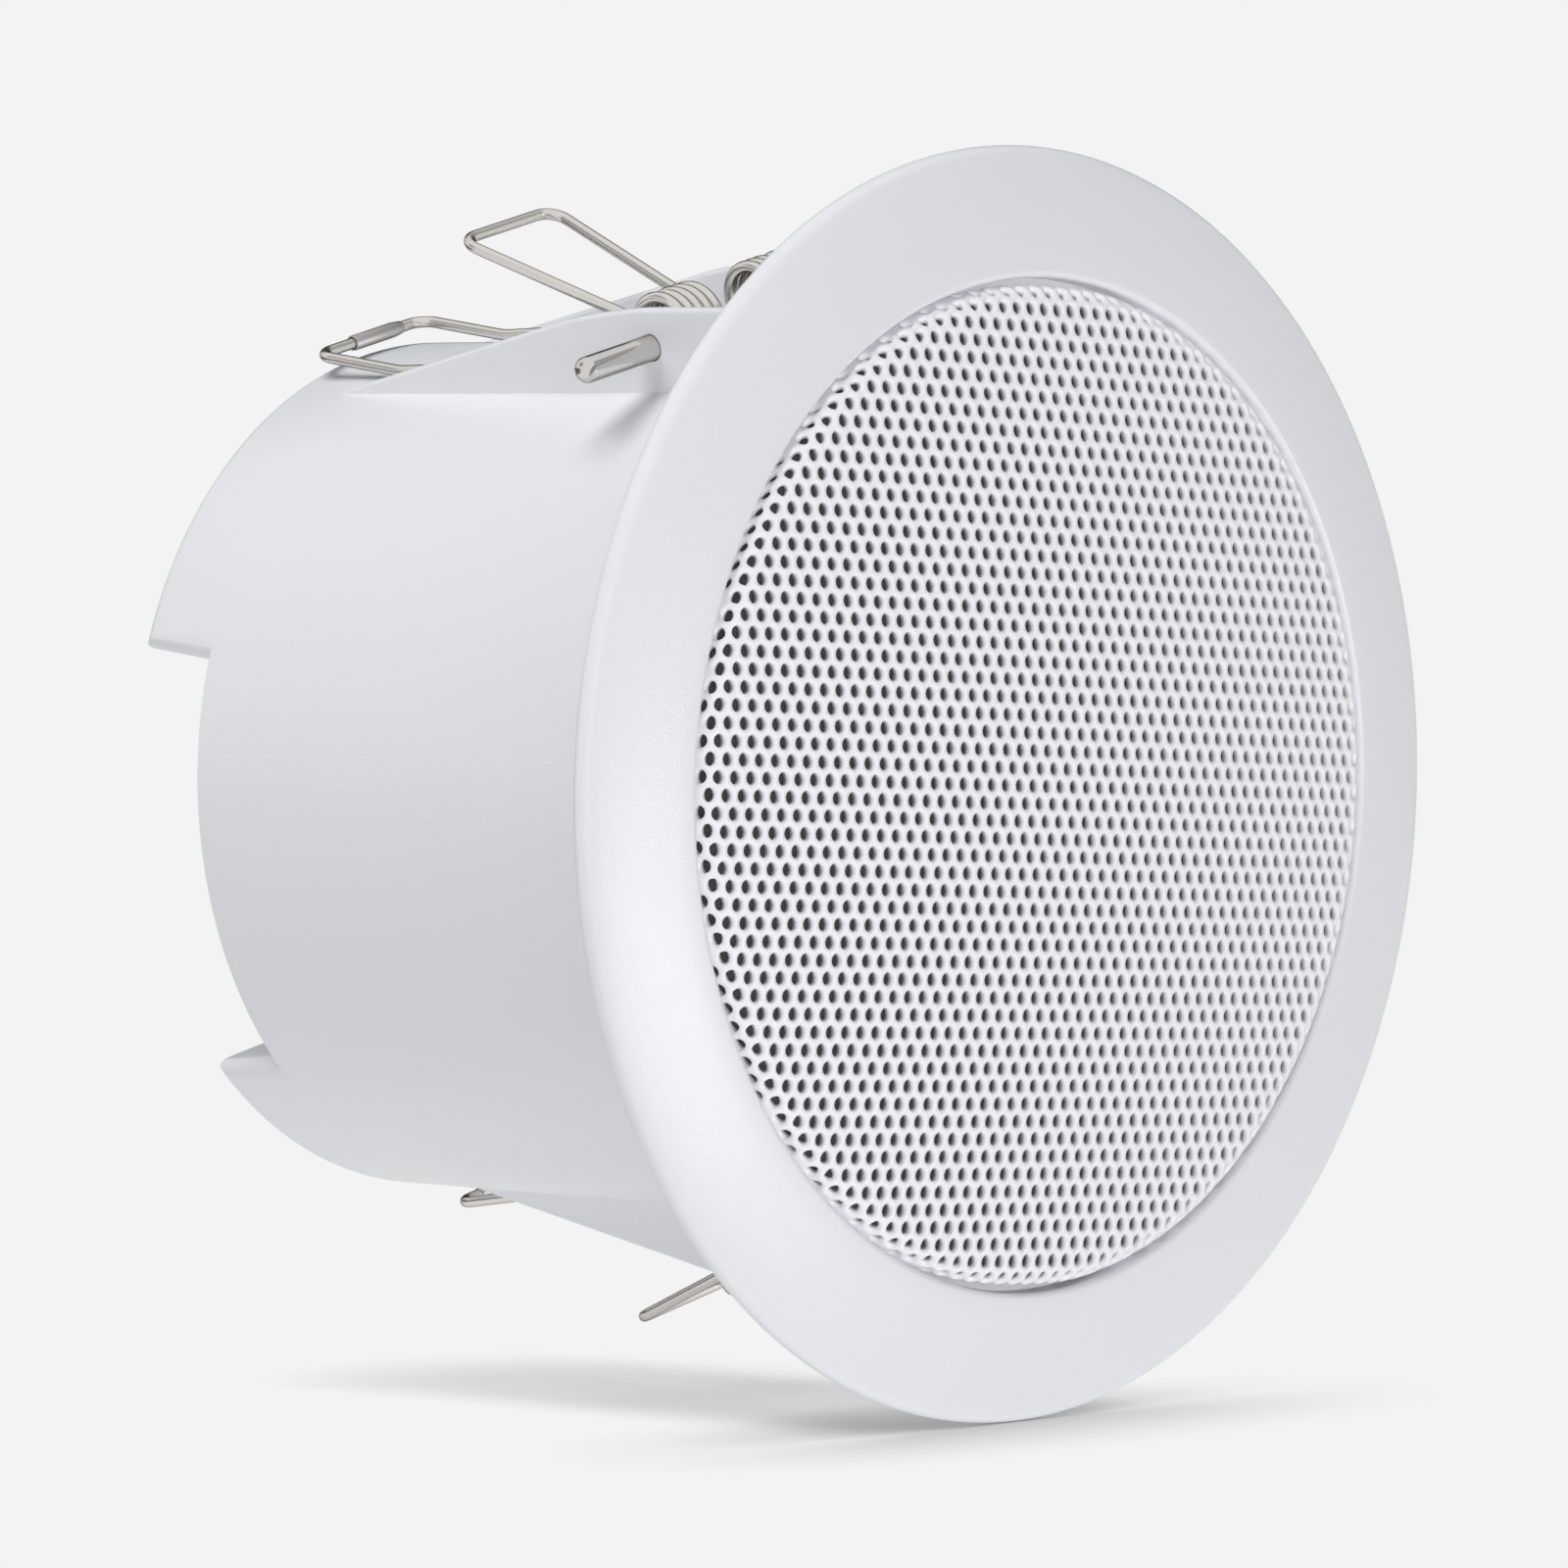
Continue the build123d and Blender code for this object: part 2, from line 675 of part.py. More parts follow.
# Terminal block in the rear channel: one row of wire clamps, with a fixing lug at each end.
terminal_rear = channel_floor + terminal_height
with BuildPart() as terminal_block:
    with BuildSketch(Plane.XZ.offset(-channel_floor)):
        Rectangle(terminal_length, terminal_width)
    extrude(amount=-terminal_height)
    fillet(edges().filter_by(Axis.Y), terminal_corner)
    with BuildSketch(Plane.XZ.offset(-channel_floor)):
        Rectangle(terminal_length + 2 * lug_length, lug_width)
    extrude(amount=-lug_thickness)
    with BuildSketch(Plane.XZ.offset(-terminal_rear)):
        with GridLocations(terminal_pole_pitch, 0, terminal_poles, 1):
            Circle(terminal_well_radius)
    extrude(amount=terminal_well_depth, mode=Mode.SUBTRACT)
    with BuildSketch(Plane.XY.offset(terminal_width / 2)):
        with Locations((0, channel_floor + terminal_entry_height)):
            with GridLocations(terminal_pole_pitch, 0, terminal_poles, 1):
                Circle(terminal_entry_radius)
    extrude(amount=-terminal_width / 2, mode=Mode.SUBTRACT)
    with BuildSketch(Plane.XZ.offset(-channel_floor)):
        with GridLocations(terminal_length + lug_length, 0, 2, 1):
            Circle(fixing_radius + screw_clearance)
    extrude(amount=-lug_thickness, mode=Mode.SUBTRACT)
terminal_block.part.label = "terminal_block"
export_step(terminal_block.part, "parts/terminal_block.step")

# Slotted clamp screws at the bottom of the terminal wells.
with BuildPart() as terminal_screws:
    with BuildSketch(Plane.XZ.offset(terminal_well_depth - terminal_rear)):
        with GridLocations(terminal_pole_pitch, 0, terminal_poles, 1):
            Circle(terminal_screw_radius)
    extrude(amount=-terminal_screw_height)
    with BuildSketch(Plane.XZ.offset(terminal_well_depth - terminal_rear - terminal_screw_height)):
        with GridLocations(terminal_pole_pitch, 0, terminal_poles, 1):
            Rectangle(2 * terminal_screw_radius, terminal_slot)
    extrude(amount=terminal_slot_depth, mode=Mode.SUBTRACT)
terminal_screws.part.label = "terminal_screws"
export_step(terminal_screws.part, "parts/terminal_screws.step")

# Screws through the lugs that hold the terminal block to the rear wall.
with BuildPart() as terminal_fixings:
    with BuildSketch(Plane.XZ.offset(-channel_floor - lug_thickness)):
        with GridLocations(terminal_length + lug_length, 0, 2, 1):
            Circle(fixing_head_radius)
    extrude(amount=-fixing_head_height)
    fillet(edges().group_by(Axis.Y)[-1], fixing_head_height / 2)
    with BuildSketch(Plane.XZ.offset(-channel_floor - lug_thickness)):
        with GridLocations(terminal_length + lug_length, 0, 2, 1):
            Circle(fixing_radius)
    extrude(amount=lug_thickness + fixing_length)
terminal_fixings.part.label = "terminal_fixings"
export_step(terminal_fixings.part, "parts/terminal_fixings.step")

# Catch arms leave the bottom of the coil and rise to the catch bar.
catch_slope = atan2(catch_rise, catch_reach) + asin(coil_radius / hypot(catch_reach, catch_rise))
catch_start = (pin_depth + coil_radius * sin(catch_slope), coil_height - coil_radius * cos(catch_slope))


def ring_point(offset, angle):
    """Point of a coil's wire; the angle runs from the bottom towards the housing's rear."""
    turned = radians(angle)
    return (offset, pin_depth + coil_radius * sin(turned), coil_height - coil_radius * cos(turned))


def ring_plane(offset, angle):
    """Plane across a coil's wire."""
    return Plane(origin=ring_point(offset, angle), z_dir=(0, cos(radians(angle)), sin(radians(angle))))


catch_angle = degrees(catch_slope)
catch_lead = (
    catch_start[0] + arm_lead * cos(catch_slope),
    catch_start[1] + arm_lead * sin(catch_slope),
)

for clip, turn in clip_turns.items():
    # Torsion spring: catch loop, two coils on the pin and an anchor loop, bent from one wire.
    with BuildPart() as spring:
        with BuildLine() as catch_route:
            ThreePointArc(
                ring_point(-coil_inner_offset, catch_angle - coil_end_turn),
                ring_point(-coil_inner_offset, catch_angle - coil_end_turn / 2),
                ring_point(-coil_inner_offset, catch_angle),
            )
            FilletPolyline(
                ring_point(-coil_inner_offset, catch_angle),
                (-coil_inner_offset, *catch_lead),
                (-catch_half_width, catch_depth, catch_height),
                (catch_half_width, catch_depth, catch_height),
                (coil_inner_offset, *catch_lead),
                ring_point(coil_inner_offset, catch_angle),
                radius=[arm_bend_round, loop_corner_round, loop_corner_round, arm_bend_round],
            )
            ThreePointArc(
                ring_point(coil_inner_offset, catch_angle),
                ring_point(coil_inner_offset, catch_angle - coil_end_turn / 2),
                ring_point(coil_inner_offset, catch_angle - coil_end_turn),
            )
        with BuildSketch(ring_plane(-coil_inner_offset, catch_angle - coil_end_turn)):
            Circle(wire_radius)
        sweep(path=catch_route.line)
        for side in (1, -1):
            with BuildLine() as anchor_route:
                ThreePointArc(
                    ring_point(side * coil_outer_offset, -coil_end_turn),
                    ring_point(side * coil_outer_offset, -coil_end_turn / 2),
                    ring_point(side * coil_outer_offset, 0),
                )
                FilletPolyline(
                    ring_point(side * coil_outer_offset, 0),
                    (side * coil_outer_offset, pin_depth + arm_lead, coil_height - coil_radius),
                    (side * anchor_half_width, anchor_bend_depth, anchor_bend_height),
                    (side * anchor_half_width, anchor_depth, anchor_height),
                    (sleeve_offset + side * wire_end_gap / 2, anchor_depth, anchor_height),
                    radius=[arm_bend_round, arm_bend_round, loop_corner_round],
                )
            with BuildSketch(ring_plane(side * coil_outer_offset, -coil_end_turn)):
                Circle(wire_radius)
            sweep(path=anchor_route.line)
            for ring in range(1, coil_rings - 1):
                with BuildSketch(ring_plane(side * (coil_inner_offset + ring * coil_pitch), 0)):
                    Circle(wire_radius)
                revolve(axis=Axis((0, pin_depth, coil_height), (1, 0, 0)))
    spring_part = spring.part.rotate(Axis.Y, turn)
    spring_part.label = f"spring_{clip}"
    export_step(spring_part, f"parts/spring_{clip}.step")

    # Pin: plain rod through both ears, with rounded ends.
    with BuildPart() as pin:
        with BuildSketch(Plane.YZ):
            with Locations((pin_depth, pin_height)):
                Circle(pin_radius)
        extrude(amount=ear_half_span + pin_overhang, both=True)
        fillet(edges().filter_by(GeomType.CIRCLE), pin_end_round)
    pin_part = pin.part.rotate(Axis.Y, turn)
    pin_part.label = f"pin_{clip}"
    export_step(pin_part, f"parts/pin_{clip}.step")

    # Sleeve: tube crimped over the wire's two ends on the anchor bar.
    with BuildPart() as sleeve:
        with BuildSketch(Plane.YZ.offset(sleeve_offset)):
            with Locations((anchor_depth, anchor_height)):
                Circle(sleeve_radius)
                Circle(sleeve_bore, mode=Mode.SUBTRACT)
        extrude(amount=sleeve_length / 2, both=True)
    sleeve_part = sleeve.part.rotate(Axis.Y, turn)
    sleeve_part.label = f"sleeve_{clip}"
    export_step(sleeve_part, f"parts/sleeve_{clip}.step")
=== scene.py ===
from math import cos, pi, radians, sin, sqrt

import bmesh
import bpy
from mathutils import Matrix, Vector


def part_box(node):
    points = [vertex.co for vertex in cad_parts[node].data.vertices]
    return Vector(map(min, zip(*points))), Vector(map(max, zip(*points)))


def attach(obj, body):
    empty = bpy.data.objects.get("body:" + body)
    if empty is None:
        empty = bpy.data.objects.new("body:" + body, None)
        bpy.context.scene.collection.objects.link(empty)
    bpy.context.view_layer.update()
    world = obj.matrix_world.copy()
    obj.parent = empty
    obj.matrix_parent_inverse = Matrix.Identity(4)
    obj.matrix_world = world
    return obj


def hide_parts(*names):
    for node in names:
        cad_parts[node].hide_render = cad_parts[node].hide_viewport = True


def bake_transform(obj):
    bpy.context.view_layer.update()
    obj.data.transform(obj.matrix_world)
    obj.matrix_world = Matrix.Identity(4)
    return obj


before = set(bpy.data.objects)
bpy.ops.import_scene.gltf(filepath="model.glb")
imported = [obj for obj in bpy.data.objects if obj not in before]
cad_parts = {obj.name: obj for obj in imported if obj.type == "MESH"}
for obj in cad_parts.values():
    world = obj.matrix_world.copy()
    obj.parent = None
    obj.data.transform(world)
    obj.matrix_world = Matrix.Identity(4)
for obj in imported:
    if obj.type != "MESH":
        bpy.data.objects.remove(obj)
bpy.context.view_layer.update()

scene = bpy.context.scene
scene.view_settings.view_transform = "Standard"

# The housing is one white moulding: a flared bezel, a straight can and a stepped rear wall.
# It is ABS with a fine sparked skin. Two pairs of ears stand on the can and carry the clip pins.
# The grille drops into the recess in front, and a cable channel crosses the closed end.
surface_grain = bpy.data.node_groups.new("surface_grain", "ShaderNodeTree")
surface_grain.interface.new_socket("Grains per metre", in_out="INPUT", socket_type="NodeSocketFloat")
surface_grain.interface.new_socket("Height", in_out="OUTPUT", socket_type="NodeSocketFloat")
surface_grain.interface.new_socket("Patch", in_out="OUTPUT", socket_type="NodeSocketFloat")
grain_nodes = surface_grain.nodes
grain_in = grain_nodes.new("NodeGroupInput")
grain_out = grain_nodes.new("NodeGroupOutput")
grain_place = grain_nodes.new("ShaderNodeTexCoord")
grain_fine = grain_nodes.new("ShaderNodeTexNoise")
grain_fine.inputs["Detail"].default_value = 2.0
grain_fine.inputs["Roughness"].default_value = 0.6
grain_patch = grain_nodes.new("ShaderNodeTexNoise")
grain_patch.inputs["Scale"].default_value = 45.0
grain_patch.inputs["Detail"].default_value = 4.0
surface_grain.links.new(grain_place.outputs["Object"], grain_fine.inputs["Vector"])
surface_grain.links.new(grain_place.outputs["Object"], grain_patch.inputs["Vector"])
surface_grain.links.new(grain_in.outputs["Grains per metre"], grain_fine.inputs["Scale"])
surface_grain.links.new(grain_fine.outputs["Fac"], grain_out.inputs["Height"])
surface_grain.links.new(grain_patch.outputs["Fac"], grain_out.inputs["Patch"])


def finish(name, colour, shade, roughness, metallic, grains, depth):
    """A surface whose colour wanders between two close shades, with a grain of that depth in metres."""
    material = bpy.data.materials.new(name)
    material.use_nodes = True
    nodes, links = material.node_tree.nodes, material.node_tree.links
    shader = nodes["Principled BSDF"]
    shader.inputs["Metallic"].default_value = metallic
    grain = nodes.new("ShaderNodeGroup")
    grain.node_tree = surface_grain
    grain.inputs["Grains per metre"].default_value = grains
    tint = nodes.new("ShaderNodeMix")
    tint.data_type = "RGBA"
    tint.inputs["A"].default_value = (*[value * shade for value in colour], 1.0)
    tint.inputs["B"].default_value = (*colour, 1.0)
    links.new(grain.outputs["Patch"], tint.inputs["Factor"])
    links.new(tint.outputs["Result"], shader.inputs["Base Color"])
    polish = nodes.new("ShaderNodeMapRange")
    polish.inputs["To Min"].default_value = roughness * 0.85
    polish.inputs["To Max"].default_value = roughness * 1.15
    links.new(grain.outputs["Patch"], polish.inputs["Value"])
    links.new(polish.outputs["Result"], shader.inputs["Roughness"])
    bump = nodes.new("ShaderNodeBump")
    bump.inputs["Strength"].default_value = 1.0
    bump.inputs["Distance"].default_value = depth
    links.new(grain.outputs["Height"], bump.inputs["Height"])
    links.new(bump.outputs["Normal"], shader.inputs["Normal"])
    return material


def whole(bm):
    """All of a mesh's geometry, for the operators that want it."""
    return bm.verts[:] + bm.edges[:] + bm.faces[:]


def verts_in(geom):
    """The vertices among what an operator made."""
    return [item for item in geom if isinstance(item, bmesh.types.BMVert)]


def settle(bm, name, material, sharp=35):
    """Closes a mesh, shades it and makes it an object at the origin."""
    bmesh.ops.remove_doubles(bm, verts=bm.verts, dist=1e-6)
    bmesh.ops.recalc_face_normals(bm, faces=bm.faces)
    mesh = bpy.data.meshes.new(name)
    bm.to_mesh(mesh)
    bm.free()
    mesh.shade_smooth()
    mesh.set_sharp_from_angle(angle=radians(sharp))
    mesh.materials.append(material)
    piece = bpy.data.objects.new(name, mesh)
    scene.collection.objects.link(piece)
    return piece


def turned(points, steps):
    """A ring turned about the speaker's axis from a closed outline of (radius, depth) points."""
    bm = bmesh.new()
    corners = [bm.verts.new((radius, depth, 0)) for radius, depth in points]
    rim = [bm.edges.new(pair) for pair in zip(corners, corners[1:] + corners[:1])]
    bmesh.ops.spin(
        bm, geom=corners + rim, cent=(0, 0, 0), axis=(0, 1, 0), dvec=(0, 0, 0),
        angle=2 * pi, steps=steps, use_merge=True, use_duplicate=False,
    )
    bmesh.ops.remove_doubles(bm, verts=bm.verts, dist=1e-6)
    bmesh.ops.recalc_face_normals(bm, faces=bm.faces)
    return bm


def ring_edges(bm, radius, depth):
    """Edges of a turned piece that run round it at a radius and depth."""
    def on_ring(vert):
        return abs(vert.co.y - depth) < 1e-5 and abs(sqrt(vert.co.x**2 + vert.co.z**2) - radius) < 1e-4
    return [edge for edge in bm.edges if all(on_ring(vert) for vert in edge.verts)]


def carved(bm, cutter, name):
    """The mesh with a second closed mesh taken out of it."""
    made = []
    for source in (bm, cutter):
        mesh = bpy.data.meshes.new(name)
        source.to_mesh(mesh)
        source.free()
        made.append(bpy.data.objects.new(name, mesh))
        scene.collection.objects.link(made[-1])
    cut = made[0].modifiers.new("cut", "BOOLEAN")
    cut.operation = "DIFFERENCE"
    cut.solver = "EXACT"
    cut.object = made[1]
    bpy.context.view_layer.update()
    result = bmesh.new()
    result.from_object(made[0], bpy.context.evaluated_depsgraph_get())
    for temporary in made:
        mesh = temporary.data
        bpy.data.objects.remove(temporary)
        bpy.data.meshes.remove(mesh)
    return result


body_depth, channel_floor = 0.1188, 0.1038
inner_wall, ledge_radius, body_front, body_rear = 0.0629, 0.053, 0.0659, 0.0652
lip_radius, lip_depth = 0.0749, -0.0069
bezel_radius, bezel_edge = 0.0945, -0.00275
seat_radius, pocket_radius = 0.08934, 0.0773
can = turned(
    [
        (0.0, 0.1008), (0.0622, 0.1008), (inner_wall, 0.011), (ledge_radius, 0.011), (ledge_radius, 0.008),
        (inner_wall, 0.008), (inner_wall, -0.0025), (lip_radius, -0.0025), (lip_radius, lip_depth),
        (0.0795, -0.00630), (0.0847, -0.0054), (0.0890, -0.00445), (0.0921, -0.00355),
        (bezel_radius, bezel_edge), (bezel_radius, 0.0), (seat_radius, 0.0), (seat_radius, -0.0015),
        (pocket_radius, -0.004), (pocket_radius, 0.0), (body_front, 0.0), (0.0653, 0.1026),
        (body_rear, body_depth), (0.0, body_depth),
    ],
    steps=256,
)
for rings, edge_round, segments in (
    ([(lip_radius, lip_depth)], 0.0012, 5),
    ([(bezel_radius, bezel_edge), (bezel_radius, 0.0)], 0.0013, 5),
    ([(body_rear, body_depth)], 0.0022, 6),
):
    bmesh.ops.bevel(
        can, geom=[edge for ring in rings for edge in ring_edges(can, *ring)],
        offset=edge_round, segments=segments, profile=0.5, affect="EDGES", material=-1,
    )
channel_half, channel_rear_half, channel_reach = 0.0306, 0.0321, 0.08
wing, rear_plane, behind = 0.07, body_depth + 0.00002, body_depth + 0.003
channel = bmesh.new()
channel_edge = [
    channel.verts.new((-channel_reach, depth, height))
    for depth, height in (
        (channel_floor, -channel_half), (rear_plane, -channel_rear_half), (rear_plane, -wing), (behind, -wing),
        (behind, wing), (rear_plane, wing), (rear_plane, channel_rear_half), (channel_floor, channel_half),
    )
]
channel.faces.new(channel_edge)
bmesh.ops.bevel(
    channel, geom=[channel_edge[1], channel_edge[6]],
    offset=0.00199, segments=6, profile=0.5, affect="VERTICES", material=-1,
)
channel_end = bmesh.ops.extrude_face_region(channel, geom=list(channel.faces))["geom"]
bmesh.ops.translate(channel, vec=(2 * channel_reach, 0, 0), verts=verts_in(channel_end))
bmesh.ops.recalc_face_normals(channel, faces=channel.faces)
can = carved(can, channel, "can")
tab_round, tab_run, tab_lean = 0.0022, 0.00366, Vector((0.00107, 0.01725, 0.00173))
tab_corner, tab_skin = Vector((-0.05768, channel_floor, channel_half)), Vector((0.4687, 0, 0.8834))
rounding = bmesh.new()
round_start = rounding.verts.new(tab_corner + Vector((tab_run, 0, 0)))
bmesh.ops.spin(
    rounding, geom=[round_start], cent=tab_corner + Vector((tab_run, 0, tab_round)), axis=(0, 1, 0), dvec=(0, 0, 0),
    angle=radians(117.95), steps=8, use_merge=False, use_duplicate=False,
)
rounding.verts.ensure_lookup_table()
round_outline = list(rounding.verts) + [
    rounding.verts.new(place) for place in (
        tab_corner + tab_skin * tab_run + Vector((-0.0009, 0, 0.0006)),
        tab_corner + Vector((-0.002, 0, -0.001)), tab_corner + Vector((tab_run, 0, -0.001)),
    )
]
round_end = bmesh.ops.extrude_face_region(rounding, geom=[rounding.faces.new(round_outline)])["geom"]
bmesh.ops.translate(rounding, vec=tab_lean, verts=verts_in(round_end))
bmesh.ops.mirror(rounding, geom=whole(rounding), axis="X", merge_dist=0.0)
bmesh.ops.mirror(rounding, geom=whole(rounding), axis="Z", merge_dist=0.0)
bmesh.ops.recalc_face_normals(rounding, faces=rounding.faces)
can = carved(can, rounding, "can")
bmesh.ops.remove_doubles(can, verts=can.verts, dist=1e-6)
bmesh.ops.recalc_face_normals(can, faces=can.faces)
ear_inner, ear_wall, ear_middle, ear_front = 0.0148, 0.0022, 0.0159, -0.001
ear_root, ear_top, ear_kink, ear_tail, ear_fall = 0.0614, 0.07615, 0.0506, 0.1159, 0.226
pin_depth, pin_height = 0.0415, 0.07031


def ear_ridge(depth):
    """Height of an ear's upper edge, flat in front and falling to the rear."""
    return min(ear_root + ear_fall * (ear_tail - depth), ear_top)


ear = bmesh.new()
ear_outline = [
    ear.verts.new((ear_inner, depth, height))
    for depth, height in ((ear_front, ear_root), (ear_front, ear_top), (ear_kink, ear_top), (ear_tail, ear_root))
]
ear.faces.new(ear_outline)
bmesh.ops.bevel(
    ear, geom=[ear_outline[2]], offset=0.010, segments=8, profile=0.5, affect="VERTICES", material=-1
)
ear_far = bmesh.ops.extrude_face_region(ear, geom=list(ear.faces))["geom"]
bmesh.ops.translate(ear, vec=(ear_wall, 0, 0), verts=verts_in(ear_far))
bmesh.ops.recalc_face_normals(ear, faces=ear.faces)
pin_bore = bmesh.new()
bmesh.ops.create_cone(
    pin_bore, cap_ends=True, segments=48, radius1=0.00215, radius2=0.00215, depth=0.008,
    matrix=Matrix.Translation((ear_middle, pin_depth, pin_height)) @ Matrix.Rotation(pi / 2, 4, "Y"),
)
ear = carved(ear, pin_bore, "ear")
top_edges = [
    edge for edge in ear.edges
    if abs(edge.verts[0].co.x - edge.verts[1].co.x) < 1e-6
    and all(vert.co.z > ear_ridge(vert.co.y) - 0.0008 for vert in edge.verts)
    and abs(edge.verts[0].co.y - edge.verts[1].co.y) > 1e-4
]
bmesh.ops.bevel(ear, geom=top_edges, offset=0.0007, segments=4, profile=0.5, affect="EDGES", material=-1)
bmesh.ops.mirror(ear, geom=whole(ear), axis="X", merge_dist=0.0)
bmesh.ops.mirror(ear, geom=whole(ear), axis="Z", merge_dist=0.0)
bmesh.ops.recalc_face_normals(ear, faces=ear.faces)
ear_mesh = bpy.data.meshes.new("ears")
ear.to_mesh(ear_mesh)
ear.free()
can.from_mesh(ear_mesh)
bpy.data.meshes.remove(ear_mesh)
sparked_white = finish(
    "sparked_white", (0.797, 0.808, 0.836), shade=0.985, roughness=0.33, metallic=0.0, grains=2600.0, depth=0.00005
)
moulding = settle(can, "housing_moulding", sparked_white)
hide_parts("housing")
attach(moulding, "housing")

# The grille is punched steel sheet, pressed to a shallow dome with a rolled rim and powder coated white.
# Round holes stand in a triangular pattern that runs on over the rolled rim.
# Its skirt stands on the floor of the bezel's recess.
hole_pitch, hole_radius = 0.003, 0.00107
punched_radius = 0.0762
rim_start, rim_round = 0.0711, 0.0032
skirt_run = 0.0024
sheet_edge = rim_start + rim_round * pi / 2 + skirt_run
cell = bmesh.new()
bmesh.ops.create_circle(cell, segments=12, radius=hole_radius)
side = bmesh.ops.create_circle(cell, segments=6, radius=hole_pitch / sqrt(3))["verts"]
side_edges = list({edge for vert in side for edge in vert.link_edges})
bmesh.ops.subdivide_edges(cell, edges=side_edges, cuts=1)
hole_edges = [edge for edge in cell.edges if all(vert.co.length < hole_radius * 1.2 for vert in edge.verts)]
outer_edges = [edge for edge in cell.edges if edge not in hole_edges]
bmesh.ops.bridge_loops(cell, edges=hole_edges + outer_edges)
cell_mesh = bpy.data.meshes.new("cell")
cell.to_mesh(cell_mesh)
bmesh.ops.holes_fill(cell, edges=hole_edges)
plain_mesh = bpy.data.meshes.new("plain_cell")
cell.to_mesh(plain_mesh)
cell.free()
sheet = bmesh.new()
reach = int(sheet_edge / hole_pitch) + 2
for row in range(-reach, reach + 1):
    for column in range(-reach, reach + 1):
        centre = Vector(((row % 2 / 2 + column) * hole_pitch, row * hole_pitch * sqrt(3) / 2, 0))
        if centre.length > sheet_edge:
            continue
        before = len(sheet.verts)
        sheet.from_mesh(cell_mesh if centre.length < punched_radius else plain_mesh)
        sheet.verts.ensure_lookup_table()
        bmesh.ops.translate(sheet, vec=centre, verts=sheet.verts[before:])
bpy.data.meshes.remove(cell_mesh)
bpy.data.meshes.remove(plain_mesh)
bmesh.ops.remove_doubles(sheet, verts=sheet.verts, dist=2e-5)
lattice_turn = Matrix.Rotation(radians(-16), 3, "Z")
dome_radius, dome_top = 0.499, -0.0134
for vert in sheet.verts:
    flat = lattice_turn @ vert.co
    run = min(flat.length, sheet_edge)
    roll = min(max(run - rim_start, 0) / rim_round, pi / 2)
    radius = min(run, rim_start) + rim_round * sin(roll)
    depth = dome_top + dome_radius - sqrt(dome_radius**2 - min(run, rim_start) ** 2)
    depth += rim_round * (1 - cos(roll)) + max(run - rim_start - rim_round * pi / 2, 0)
    way = flat.normalized() if flat.length > 1e-9 else Vector((1, 0, 0))
    vert.co = (way.x * radius, depth, way.y * radius)
bmesh.ops.dissolve_degenerate(sheet, dist=1e-6, edges=sheet.edges)
bmesh.ops.recalc_face_normals(sheet, faces=sheet.faces)
powder_white = finish(
    "powder_white", (0.895, 0.905, 0.93), shade=0.985, roughness=0.4, metallic=0.0, grains=900.0, depth=0.00003
)
dome = settle(sheet, "punched_grille", powder_white, sharp=40)
if sum(face.normal.y * face.area for face in dome.data.polygons) > 0:
    dome.data.flip_normals()
sheet_wall = dome.modifiers.new("sheet", "SOLIDIFY")
sheet_wall.thickness = 0.00125
sheet_wall.offset = -1.0
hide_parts("grille")
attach(dome, "housing")

# The clips are double torsion springs of bright nickel-plated wire, wound on the pins between the ears.
# The anchor loop lies on the can and stays; the catch loop swings out behind the ceiling panel.
# Each loop is bent from round wire and ends in a close coil.
wire_radius, coil_radius = 0.000875, 0.005
coil_centre = Vector((0, 0.0415, 0.07226))


def wire_end(bm, point, way):
    """A ring of wire section to draw from."""
    turn = Vector((0, 0, 1)).rotation_difference(way).to_matrix().to_4x4()
    made = bmesh.ops.create_circle(bm, segments=16, radius=wire_radius, matrix=Matrix.Translation(point) @ turn)
    return list({edge for vert in made["verts"] for edge in vert.link_edges})


def wire_run(bm, edges, run):
    """Draws the wire straight on."""
    made = bmesh.ops.extrude_edge_only(bm, edges=edges)["geom"]
    bmesh.ops.translate(bm, vec=run, verts=verts_in(made))
    return [item for item in made if isinstance(item, bmesh.types.BMEdge) and len(item.link_faces) == 1]


def wire_turn(bm, edges, centre, axis, angle, steps, climb=Vector((0, 0, 0))):
    """Bends the wire about an axis; climb moves it along at each step."""
    made = bmesh.ops.spin(
        bm, geom=edges, cent=centre, axis=axis, dvec=climb, angle=angle, steps=steps,
        use_merge=False, use_duplicate=False,
    )["geom_last"]
    return [item for item in made if isinstance(item, bmesh.types.BMEdge)]


def wire_route(bm, edges, corners, rounds):
    """Draws the wire along corners, each bent to its own radius."""
    place = corners[0]
    for before, corner, after, bend in zip(corners, corners[1:], corners[2:], rounds):
        arrive, leave = (corner - before).normalized(), (after - corner).normalized()
        angle = arrive.angle(leave)
        cut = bend * sin(angle / 2) / cos(angle / 2)
        inward = (leave - arrive * arrive.dot(leave)).normalized()
        edges = wire_run(bm, edges, corner - arrive * cut - place)
        steps = max(3, int(angle / radians(9)))
        middle = corner - arrive * cut + inward * bend
        edges = wire_turn(bm, edges, middle, arrive.cross(leave).normalized(), angle, steps)
        place = corner + leave * cut
    return wire_run(bm, edges, corners[-1] - place)


def coil_point(offset, angle):
    """A place on a coil; the angle runs from its bottom towards the rear."""
    return coil_centre + Vector((offset, coil_radius * sin(angle), -coil_radius * cos(angle)))


def both_sides(bm):
    """Adds the wire's other half, across the clip's middle plane, and closes its ends."""
    bmesh.ops.mirror(bm, geom=whole(bm), axis="X", merge_dist=1e-6)
    bmesh.ops.remove_doubles(bm, verts=bm.verts, dist=1e-6)
    bmesh.ops.holes_fill(bm, edges=[edge for edge in bm.edges if len(edge.link_faces) == 1])


